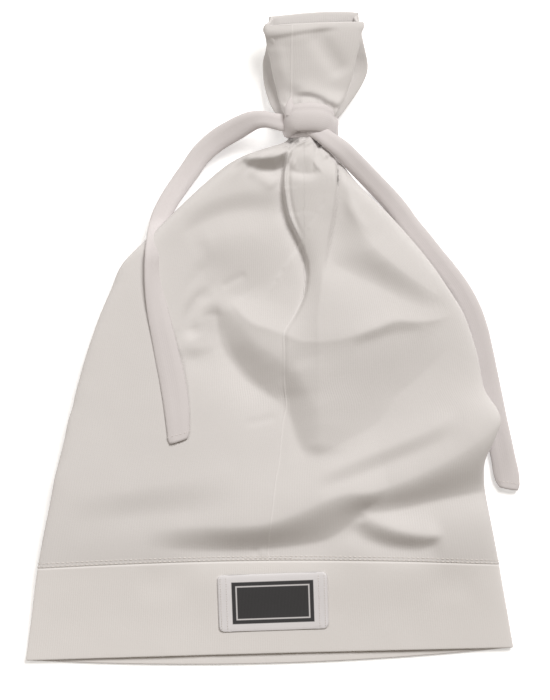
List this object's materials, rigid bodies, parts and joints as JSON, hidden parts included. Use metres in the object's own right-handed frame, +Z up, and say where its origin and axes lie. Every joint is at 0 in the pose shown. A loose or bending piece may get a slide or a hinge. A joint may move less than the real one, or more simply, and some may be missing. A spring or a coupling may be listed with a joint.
{
  "type": "tie-top jersey beanie",
  "caption": "Long jersey tube beanie lying flat, gathered by a knotted tie below an open ruff, with a doubled band round the head opening.",
  "frame": {"origin": "bottom centre of the hat's box without the two tie tails, on the surface that the hat lies on", "axes": "+Z up, out of the front with the label; +Y from the head opening to the tied top; +X to the right seen from above with the top away"},
  "size_m": [0.2757, 0.3624, 0.033],
  "materials": {
    "jersey": "matt cream cotton jersey, fine ribs along the length",
    "tie_jersey": "matt cream cotton jersey, turned tube pressed flat",
    "label_satin": null
  },
  "bodies": {
    "root": {"crown": "jersey", "head_band": "jersey", "tie_wrap": "tie_jersey", "tie_knot": "tie_jersey", "tail_left": "tie_jersey", "tail_right": "tie_jersey", "label": "label_satin"}
  },
  "joints": []
}
